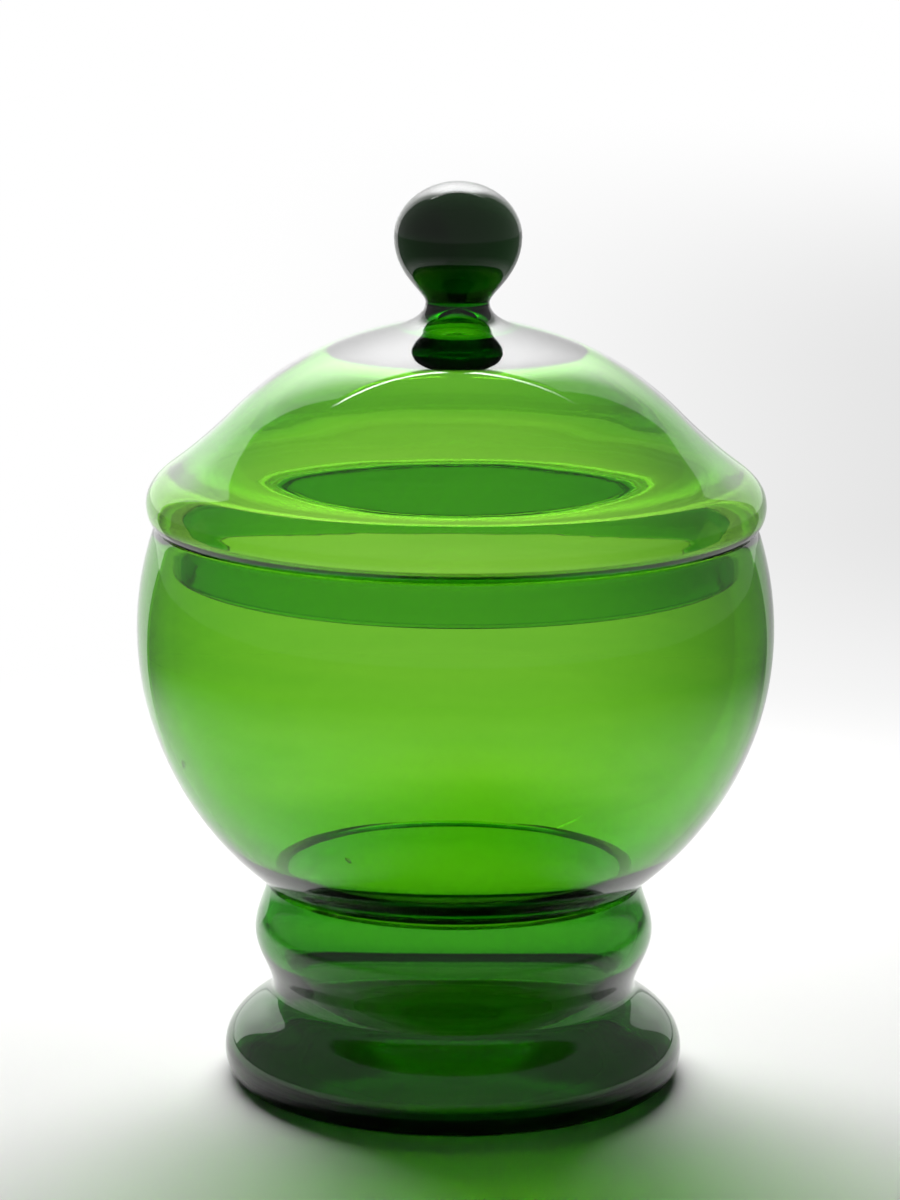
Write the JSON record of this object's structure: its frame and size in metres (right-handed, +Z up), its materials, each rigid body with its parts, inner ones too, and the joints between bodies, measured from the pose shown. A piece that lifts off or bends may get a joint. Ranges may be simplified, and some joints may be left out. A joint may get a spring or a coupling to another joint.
{
  "type": "covered glass storage jar",
  "caption": "Covered green glass jar: a round bowl on a rolled collar and a spread foot, with a lift-off domed lid that has a ball knob and an inner flange.",
  "frame": {"origin": "on the table, at the middle of the foot", "axes": "+Z up along the axis that every piece is turned about, +X to the right and +Y away from the viewer"},
  "size_m": [0.2, 0.2, 0.286],
  "materials": {
    "vessel_glass": "clear green, fire polished",
    "foot_glass": "deep green where the glass is thick, ground under the foot",
    "lid_glass": "clear green, fire polished, ground on the seat",
    "knob_glass": "solid glass, nearly black, fire polished"
  },
  "bodies": {
    "vessel": {"bowl": "vessel_glass", "foot_collar": "vessel_glass", "foot_base": "foot_glass"},
    "lid": {"lid_dome": "lid_glass", "lid_flange": "lid_glass", "knob": "knob_glass"}
  },
  "joints": [
    {"name": "lid_lift", "type": "slide", "parent": "vessel", "child": "lid", "axis": [0, 0, 1], "range_m": [0, 0.12]}
  ]
}
